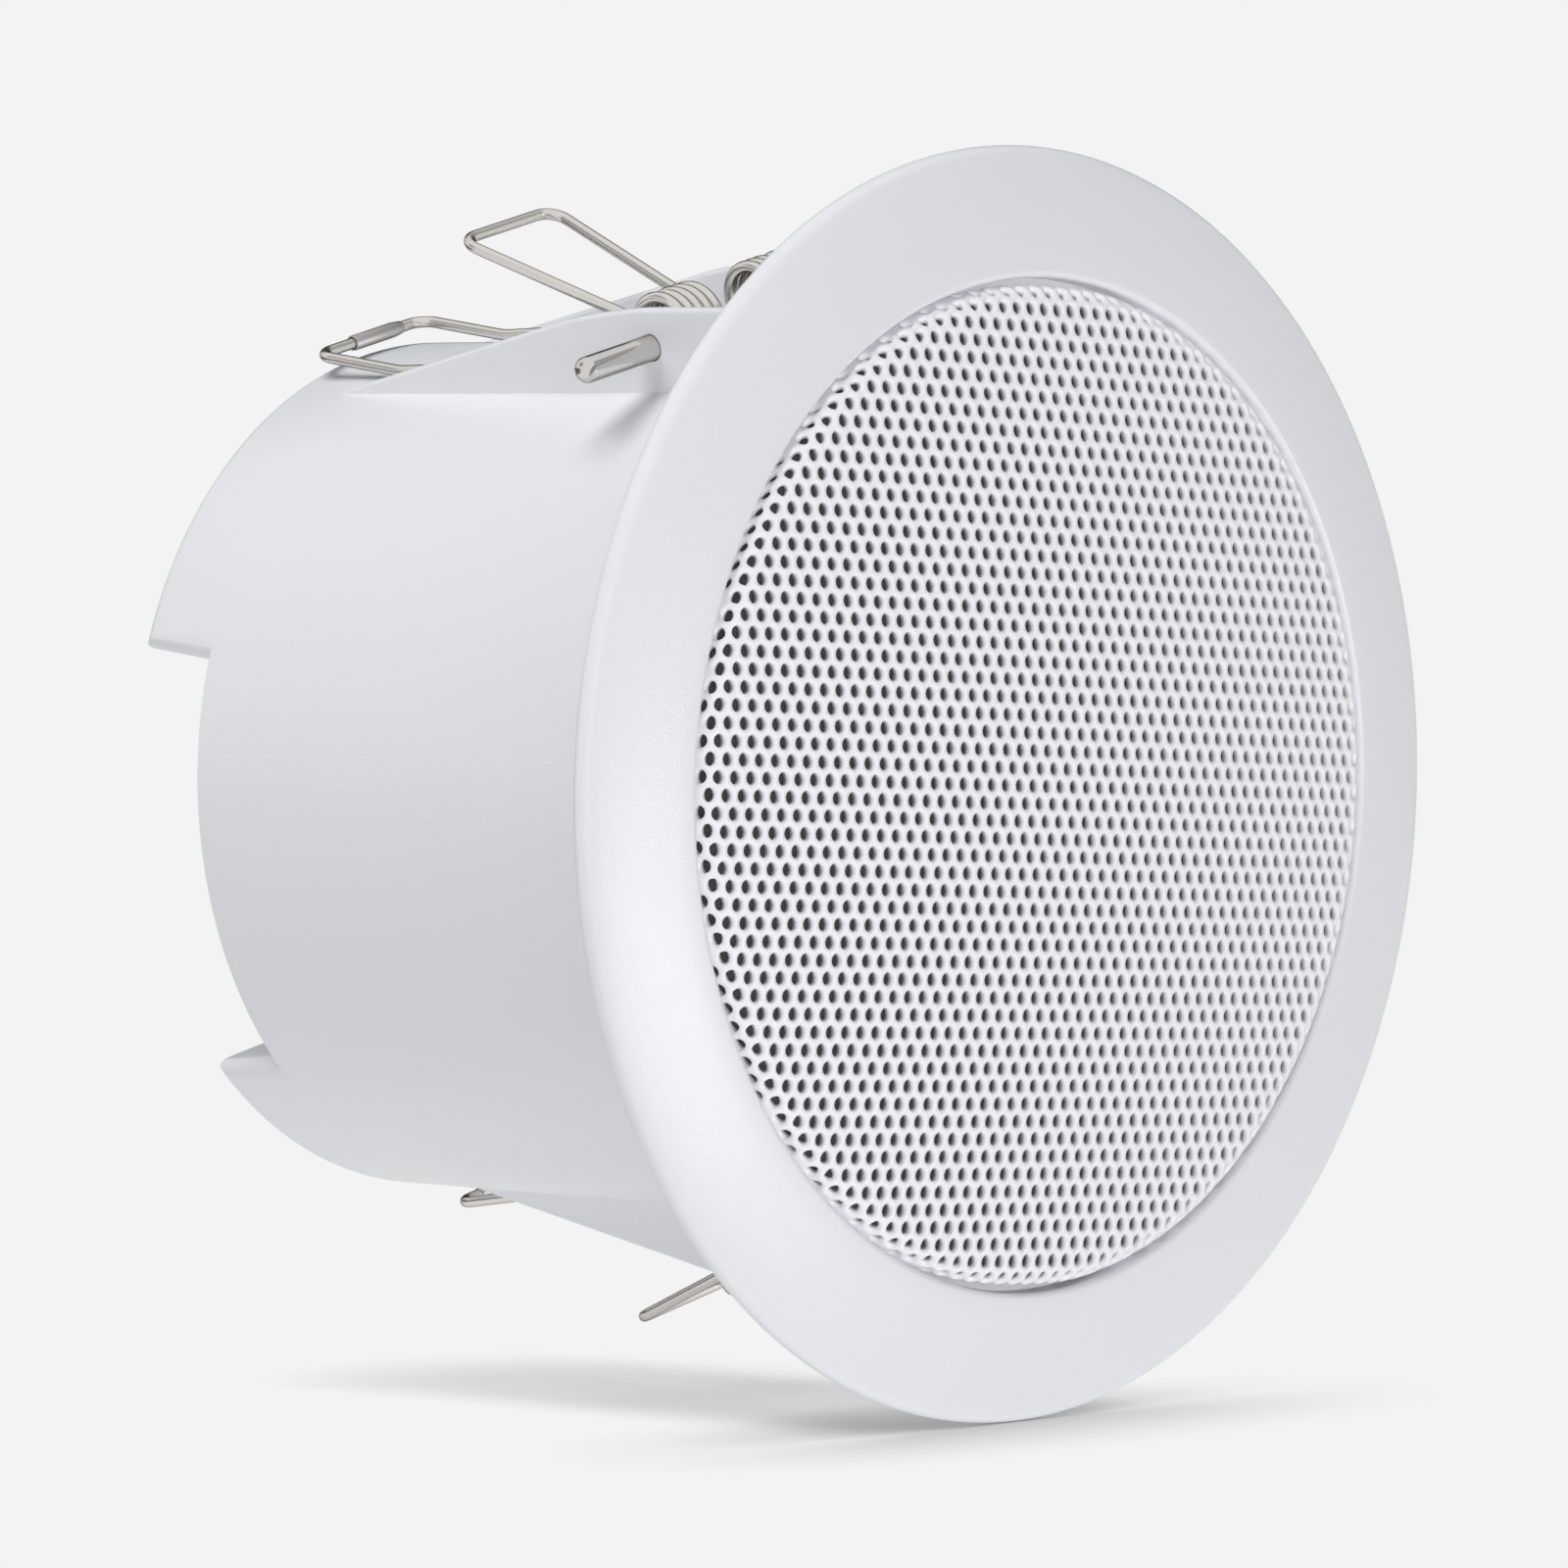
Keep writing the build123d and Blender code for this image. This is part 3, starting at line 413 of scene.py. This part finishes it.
nickel_wire = finish(
    "nickel_wire", (0.78, 0.757, 0.722), shade=0.9, roughness=0.22, metallic=1.0, grains=1400.0, depth=0.000001
)
nickel_wire.node_tree.nodes["Principled BSDF"].inputs["Specular Tint"].default_value = (0.3, 0.29, 0.27, 1.0)
catch_slope = radians(23.83)
catch_inner, catch_outer, coil_play = 0.0058, 0.0138, 0.0017
coil_turns, steps_a_turn = 3.55, 40
arm_lead, arm_bend, corner_bend = 0.006, 0.014, 0.003
anchor_half, anchor_depth, anchor_height = 0.0119, 0.116, 0.0678
catch_way = Vector((0, cos(catch_slope), sin(catch_slope)))
catch_bar = Vector((0.0105, 0.0833, 0.08526))
for clip, turn in (("top", 0), ("bottom", pi)):
    catch = bmesh.new()
    leave = coil_point(catch_inner, catch_slope)
    corners = [Vector((0, catch_bar.y, catch_bar.z)), catch_bar, leave + catch_way * arm_lead, leave]
    drawn = wire_end(catch, corners[0], Vector((1, 0, 0)))
    drawn = wire_route(catch, drawn, corners, (corner_bend, arm_bend))
    steps = int(coil_turns * steps_a_turn)
    climb = Vector(((catch_outer - catch_inner - coil_play) / steps, 0, 0))
    wire_turn(catch, drawn, coil_centre, (-1, 0, 0), coil_turns * 2 * pi, steps, climb)
    both_sides(catch)
    bmesh.ops.rotate(catch, cent=(0, 0, 0), matrix=Matrix.Rotation(turn, 3, "Y"), verts=catch.verts)
    catch_loop = settle(catch, f"catch_loop_{clip}", nickel_wire, sharp=60)
    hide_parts(f"spring_{clip}")
    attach(catch_loop, f"clip_{clip}")

    anchor = bmesh.new()
    start = coil_point(catch_outer, 0)
    drawn = wire_end(anchor, start, Vector((0, 1, 0)))
    corners = [
        start, start + Vector((0, arm_lead, 0)), Vector((anchor_half, 0.099, 0.0654)),
        Vector((anchor_half, anchor_depth, anchor_height)), Vector((0.0005, anchor_depth, anchor_height)),
    ]
    wire_route(anchor, drawn, corners, (arm_bend, arm_bend, corner_bend))
    wound = wire_end(anchor, start, Vector((0, 1, 0)))
    wire_turn(anchor, wound, coil_centre, (-1, 0, 0), radians(358), 44)
    both_sides(anchor)
    bmesh.ops.rotate(anchor, cent=(0, 0, 0), matrix=Matrix.Rotation(turn, 3, "Y"), verts=anchor.verts)
    anchor_loop = settle(anchor, f"anchor_loop_{clip}", nickel_wire, sharp=60)
    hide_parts(f"spring_{clip}")
    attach(anchor_loop, "housing")

# Each pin is a polished steel rod with rounded ends, pushed through both ears.
# The coils hang on it, and its ends stand well out of the ears.
polished_rod = finish(
    "polished_rod", (0.75, 0.732, 0.705), shade=0.85, roughness=0.13, metallic=1.0, grains=500.0, depth=0.000006
)
polished_rod.node_tree.nodes["Principled BSDF"].inputs["Specular Tint"].default_value = (0.35, 0.34, 0.32, 1.0)
pin_radius, pin_length, pin_round = 0.002, 0.0652, 0.0016
for clip, turn in (("top", 0), ("bottom", pi)):
    rod = bmesh.new()
    bmesh.ops.create_cone(
        rod, cap_ends=True, segments=40, radius1=pin_radius, radius2=pin_radius, depth=pin_length,
        matrix=Matrix.Translation((0, pin_depth, pin_height)) @ Matrix.Rotation(pi / 2, 4, "Y"),
    )
    end_edges = [edge for edge in rod.edges if abs(edge.verts[0].co.x - edge.verts[1].co.x) < 1e-6]
    bmesh.ops.bevel(rod, geom=end_edges, offset=pin_round, segments=6, profile=0.5, affect="EDGES", material=-1)
    bmesh.ops.rotate(rod, cent=(0, 0, 0), matrix=Matrix.Rotation(turn, 3, "Y"), verts=rod.verts)
    clip_pin = settle(rod, f"clip_pin_{clip}", polished_rod, sharp=50)
    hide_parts(f"pin_{clip}")
    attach(clip_pin, "housing")

# A short tube of dull plated steel is crimped over the wire's two ends on the anchor bar.
# One of its rims is pinched in where the crimping tool pressed it.
dull_tube = finish(
    "dull_tube", (0.5, 0.49, 0.475), shade=0.85, roughness=0.38, metallic=1.0, grains=1800.0, depth=0.00002
)
tube_radius, tube_length, tube_middle = 0.0012, 0.011, 0.0015
tube_wall, bore_depth, rim_bevel = 0.00028, 0.003, 0.00012
pinch_start, pinched_end, pinch = 0.0052, 0.0066, 0.84
for clip, turn in (("top", 0), ("bottom", pi)):
    tube = bmesh.new()
    bmesh.ops.create_cone(
        tube, cap_ends=True, segments=32, radius1=tube_radius, radius2=tube_radius, depth=tube_length,
        matrix=Matrix.Translation((tube_middle, anchor_depth, anchor_height)) @ Matrix.Rotation(pi / 2, 4, "Y"),
    )
    bmesh.ops.bisect_plane(tube, geom=whole(tube), plane_co=(pinch_start, 0, 0), plane_no=(1, 0, 0))
    tube_caps = [face for face in tube.faces if abs(face.normal.x) > 0.9]
    bmesh.ops.inset_region(tube, faces=tube_caps, thickness=tube_wall, depth=0.0, use_even_offset=True)
    tube_bores = bmesh.ops.extrude_discrete_faces(tube, faces=tube_caps)["faces"]
    for bore in tube_bores:
        bmesh.ops.translate(tube, vec=bore.normal * -bore_depth, verts=bore.verts)
    rim_edges = [
        edge for edge in tube.edges
        if len(edge.link_faces) == 2 and edge.calc_face_angle(0) > 1
        and abs(edge.verts[0].co.x - edge.verts[1].co.x) < 1e-6
        and all(abs(abs(vert.co.x - tube_middle) - tube_length / 2) < 1e-5 for vert in edge.verts)
    ]
    bmesh.ops.bevel(tube, geom=rim_edges, offset=rim_bevel, segments=2, profile=0.5, affect="EDGES", material=-1)
    bmesh.ops.scale(
        tube, vec=(1, pinch, pinch), space=Matrix.Translation((0, -anchor_depth, -anchor_height)),
        verts=[vert for vert in tube.verts if vert.co.x > pinched_end],
    )
    bmesh.ops.rotate(tube, cent=(0, 0, 0), matrix=Matrix.Rotation(turn, 3, "Y"), verts=tube.verts)
    crimped_tube = settle(tube, f"crimped_tube_{clip}", dull_tube, sharp=40)
    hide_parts(f"sleeve_{clip}")
    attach(crimped_tube, "housing")

# The driver behind the grille: a pressed frame painted black, a paper cone with a rubber surround,
# a cloth spider and a ferrite magnet between zinc plated plates. It is screwed to the ledge over a foam ring.
# Only the dark cloth in front of it shows, through the punched holes.
driver_finishes = {  # name, colour, darker shade, roughness, metallic, grains per metre, grain depth in metres
    "grille_cloth": finish("black_cloth", (0.055, 0.055, 0.057), 0.6, 0.95, 0.0, 1800.0, 0.0002),
    "driver_basket": finish("black_frame", (0.025, 0.025, 0.026), 0.8, 0.4, 0.0, 700.0, 0.00003),
    "driver_gasket": finish("black_foam", (0.03, 0.03, 0.03), 0.6, 0.9, 0.0, 1500.0, 0.0003),
    "surround": finish("rubber_roll", (0.016, 0.016, 0.016), 0.8, 0.55, 0.0, 900.0, 0.00003),
    "cone": finish("pressed_paper", (0.028, 0.027, 0.026), 0.7, 0.8, 0.0, 1100.0, 0.00012),
    "spider": finish("spider_cloth", (0.5, 0.34, 0.14), 0.8, 0.85, 0.0, 1600.0, 0.0002),
    "voice_coil": finish("copper_winding", (0.62, 0.32, 0.17), 0.85, 0.3, 1.0, 3000.0, 0.00003),
    "magnet": finish("ferrite", (0.05, 0.05, 0.052), 0.8, 0.6, 0.0, 800.0, 0.0001),
    "yoke": finish("zinc_plate", (0.6, 0.6, 0.57), 0.85, 0.35, 1.0, 600.0, 0.00002),
    "tag_board": finish("brown_laminate", (0.28, 0.15, 0.07), 0.8, 0.5, 0.0, 900.0, 0.00003),
    "solder_tags": finish("tinned_tag", (0.7, 0.68, 0.63), 0.9, 0.3, 1.0, 900.0, 0.00002),
    "driver_leads": finish("lead_sheath", (0.05, 0.05, 0.055), 0.8, 0.45, 0.0, 900.0, 0.00002),
    "terminal_block": finish("terminal_grey", (0.12, 0.122, 0.126), 0.9, 0.5, 0.0, 1500.0, 0.00005),
}
shared_finishes = {
    "dust_cap": "cone", "top_plate": "yoke", "driver_screws": "yoke",
    "terminal_screws": "yoke", "terminal_fixings": "yoke",
}
for node, like in {**{name: name for name in driver_finishes}, **shared_finishes}.items():
    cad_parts[node].data.materials.clear()
    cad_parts[node].data.materials.append(driver_finishes[like])

# The surround is a half roll of moulded rubber between the cone and the driver's frame.
# Its outer lip is glued to the frame and its inner lip to the cone, so the roll bends as the cone moves.
# It is made in sixteen like sectors.
outer_lip, seat_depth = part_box("surround")[1][0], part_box("surround")[1][1]
roll_outer, roll_inner = outer_lip - 0.0035, outer_lip - 0.0100
roll_base, roll_crest = seat_depth - 0.0007, seat_depth - 0.0037
sectors, sector_angle = 16, pi / 8
for sector in range(sectors):
    roll = bmesh.new()
    outline = [
        roll.verts.new((radius, depth, 0)) for radius, depth in (
            (roll_inner, roll_base), (roll_inner - 0.00175, roll_base), (roll_inner - 0.00175, seat_depth),
            (roll_inner + 0.0007, seat_depth), (roll_inner + 0.0009, roll_crest + 0.0007),
            (roll_outer - 0.0009, roll_crest + 0.0007), (roll_outer - 0.0007, seat_depth),
            (outer_lip, seat_depth), (outer_lip, roll_base), (roll_outer, roll_base),
            (roll_outer - 0.0002, roll_crest), (roll_inner + 0.0002, roll_crest),
        )
    ]
    roll.faces.new(outline)
    bmesh.ops.bevel(
        roll, geom=outline[4:6], offset=0.0020, segments=6, profile=0.5, affect="VERTICES", material=-1
    )
    bmesh.ops.bevel(
        roll, geom=outline[10:12], offset=0.0026, segments=6, profile=0.5, affect="VERTICES", material=-1
    )
    bmesh.ops.delete(roll, geom=list(roll.faces), context="FACES_ONLY")
    first_cut = Matrix.Rotation((sector - 0.5) * sector_angle, 3, "Y")
    bmesh.ops.rotate(roll, cent=(0, 0, 0), matrix=first_cut, verts=roll.verts)
    bmesh.ops.spin(
        roll, geom=roll.verts[:] + roll.edges[:], cent=(0, 0, 0), axis=(0, 1, 0), dvec=(0, 0, 0),
        angle=sector_angle, steps=8, use_merge=False, use_duplicate=False,
    )
    bmesh.ops.holes_fill(roll, edges=[edge for edge in roll.edges if len(edge.link_faces) == 1])
    roll_sector = settle(roll, f"surround_roll_{sector:02d}", driver_finishes["surround"])
    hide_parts("surround")
    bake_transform(roll_sector)

# The speaker stands on the edge of its bezel on a pale table that glows as evenly as the background.
# Its glow carries a painted shadow, darker near the bezel and the body by an occlusion test leaned to one side, and
# no horizon shows.
pale_grey = (0.896, 0.896, 0.896, 1.0)
floor_way = Vector((0.228, 0, 0.974)).normalized()
floor_turn = Vector((0, 0, 1)).rotation_difference(floor_way).to_matrix().to_4x4()
sweep = bmesh.new()
bmesh.ops.create_circle(
    sweep, cap_ends=True, segments=96, radius=0.9, matrix=Matrix.Translation(floor_way * -0.0946) @ floor_turn
)
sweep_paint = bpy.data.materials.new("sweep_paint")
sweep_paint.use_nodes = True
sweep_nodes, sweep_links = sweep_paint.node_tree.nodes, sweep_paint.node_tree.links
sweep_shader = sweep_nodes["Principled BSDF"]
sweep_shader.inputs["Base Color"].default_value = (0.0, 0.0, 0.0, 1.0)
sweep_shader.inputs["Specular IOR Level"].default_value = 0.0
sweep_shader.inputs["Emission Strength"].default_value = 1.0
# Painted shadow: ambient occlusion near the bezel and the body darkens the floor's glow.
painted_contact_shadow = sweep_nodes.new("ShaderNodeAmbientOcclusion")
painted_contact_shadow.samples = 32
painted_contact_shadow.inputs["Distance"].default_value = 0.036
# Leans the painted shadow's occlusion test to one side, so it falls more on one side of the contact.
painted_shadow_lean = sweep_nodes.new("ShaderNodeCombineXYZ")
for axis, value in zip("XYZ", (floor_way + Vector((0.29, -0.33, -0.07))).normalized()):
    painted_shadow_lean.inputs[axis].default_value = value
# The painted shadow's dark colour, mixed into the pale glow by the occlusion.
sweep_shade = sweep_nodes.new("ShaderNodeMix")
sweep_shade.data_type = "RGBA"
sweep_shade.inputs["A"].default_value = (0.12, 0.12, 0.122, 1.0)
sweep_shade.inputs["B"].default_value = pale_grey
sweep_rays = sweep_nodes.new("ShaderNodeLightPath")
mirror_or_camera = sweep_nodes.new("ShaderNodeMath")
mirror_or_camera.operation = "MAXIMUM"
any_sight = sweep_nodes.new("ShaderNodeMath")
any_sight.operation = "MAXIMUM"
sweep_seen = sweep_nodes.new("ShaderNodeMix")
sweep_seen.data_type = "RGBA"
sweep_seen.inputs["A"].default_value = (0.57, 0.57, 0.57, 1.0)
sweep_links.new(painted_shadow_lean.outputs["Vector"], painted_contact_shadow.inputs["Normal"])
sweep_links.new(painted_contact_shadow.outputs["AO"], sweep_shade.inputs["Factor"])
sweep_links.new(sweep_rays.outputs["Is Camera Ray"], mirror_or_camera.inputs[0])
sweep_links.new(sweep_rays.outputs["Is Glossy Ray"], mirror_or_camera.inputs[1])
sweep_links.new(mirror_or_camera.outputs["Value"], any_sight.inputs[0])
sweep_links.new(sweep_rays.outputs["Is Transmission Ray"], any_sight.inputs[1])
sweep_links.new(any_sight.outputs["Value"], sweep_seen.inputs["Factor"])
sweep_links.new(sweep_shade.outputs["Result"], sweep_seen.inputs["B"])
sweep_links.new(sweep_seen.outputs["Result"], sweep_shader.inputs["Emission Color"])
settle(sweep, "sweep", sweep_paint)

# The camera stands off to the speaker's front left, a little above, with a long lens.
across = Vector((0.6513, -0.7433, -0.1527))
upward = Vector((0.2588, 0.0284, 0.9655))
backward = Vector((-0.7133, -0.6684, 0.2109))
stand = Vector((-1.1707, -1.0525, 0.3448))
lens = bpy.data.cameras.new("camera")
lens.lens = 249.8
lens.sensor_fit = "HORIZONTAL"
lens.sensor_width = 36.0
camera = bpy.data.objects.new("camera", lens)
camera.matrix_world = Matrix(
    [(*row, place) for row, place in zip(zip(across, upward, backward), stand)] + [(0, 0, 0, 1)]
)
scene.collection.objects.link(camera)
scene.camera = camera

# Light: soft boxes overhead and in front, a low lamp that puts a sheen on the bezel, light off the table.
# The camera and bright metal see the background's own pale grey.
room = bpy.data.worlds.new("room")
scene.world = room
room.use_nodes = True
room_nodes, room_links = room.node_tree.nodes, room.node_tree.links
seen = room_nodes["Background"]
seen.inputs["Color"].default_value = pale_grey
seen.inputs["Strength"].default_value = 1.0
fill = room_nodes.new("ShaderNodeBackground")
fill.inputs["Color"].default_value = (0.97, 0.985, 1.0, 1.0)
fill.inputs["Strength"].default_value = 0.05
rays = room_nodes.new("ShaderNodeLightPath")
metal_or_camera = room_nodes.new("ShaderNodeMath")
metal_or_camera.operation = "MAXIMUM"
any_view = room_nodes.new("ShaderNodeMath")
any_view.operation = "MAXIMUM"
room_mix = room_nodes.new("ShaderNodeMixShader")
room_links.new(rays.outputs["Is Camera Ray"], metal_or_camera.inputs[0])
room_links.new(rays.outputs["Is Glossy Ray"], metal_or_camera.inputs[1])
room_links.new(metal_or_camera.outputs["Value"], any_view.inputs[0])
room_links.new(rays.outputs["Is Transmission Ray"], any_view.inputs[1])
room_links.new(any_view.outputs["Value"], room_mix.inputs["Fac"])
room_links.new(fill.outputs["Background"], room_mix.inputs[1])
room_links.new(seen.outputs["Background"], room_mix.inputs[2])
room_links.new(room_mix.outputs["Shader"], room_nodes["World Output"].inputs["Surface"])

for lamp_name, size, power, place, shadow, mirrored in (
    ("overhead_box", 1.2, 24.5, Vector((-0.35, 0.1, 1.6)), True, False),
    ("front_left_box", 1.2, 9.3, Vector((-1.0, -1.25, 0.1)), True, False),
    ("front_box", 1.2, 2.8, Vector((-0.15, -1.6, 0.35)), True, False),
    ("bezel_sheen", 0.3, 6.2, Vector((0.47, -1.25, -0.37)), False, True),
    ("table_bounce", 0.6, 5.6, Vector((-1.25, -0.35, -0.75)), False, False),
):
    lamp = bpy.data.lights.new(lamp_name, "AREA")
    lamp.shape = "SQUARE"
    lamp.size = size
    lamp.energy = power
    lamp.use_shadow = shadow
    box = bpy.data.objects.new(lamp_name, lamp)
    box.matrix_world = Matrix.Translation(place) @ place.to_track_quat("Z", "Y").to_matrix().to_4x4()
    box.visible_glossy = mirrored
    scene.collection.objects.link(box)

# Dark and grey cards stand round the speaker, out of the picture, as a photographer sets them.
# They are no lamps but glow at their shade, and only bright metal mirrors them: a painted reflection that puts the
# dark edges and the streaks on the wire and the pins.
for card_name, shade, width, height, place in (
    ("rear_card", 0.05, 1.0, 1.2, Vector((0.72, 0.66, 0.12))),
    ("side_card", 0.12, 0.45, 0.14, Vector((-0.16, 0.42, 0.01))),
    ("far_card", 0.2, 0.9, 0.4, Vector((-0.4, 0.9, -0.05))),
    ("right_card", 0.4, 1.3, 0.8, Vector((0.95, -0.25, 0.55))),
    ("left_card", 0.36, 0.6, 0.6, Vector((-0.7, 0.62, 0.68))),
):
    card = bmesh.new()
    bmesh.ops.create_grid(
        card, x_segments=1, y_segments=1, size=0.5,
        matrix=Matrix.Translation(place) @ place.to_track_quat("-Z", "Y").to_matrix().to_4x4()
        @ Matrix.Diagonal((width, height, 1.0, 1.0)),
    )
    card_glow = finish(
        f"{card_name}_felt", (0.02, 0.02, 0.02), shade=0.9, roughness=0.9, metallic=0.0, grains=300.0, depth=0.0005
    )
    # Painted reflection: the card glows at its shade though it is no lamp; its dark base colour hardly shows.
    card_glow_shader = card_glow.node_tree.nodes["Principled BSDF"]
    card_glow_shader.inputs["Emission Color"].default_value = (shade, shade, shade, 1.0)
    card_glow_shader.inputs["Emission Strength"].default_value = 1.0
    flag = settle(card, card_name, card_glow)
    flag.visible_camera = flag.visible_diffuse = flag.visible_shadow = flag.visible_transmission = False
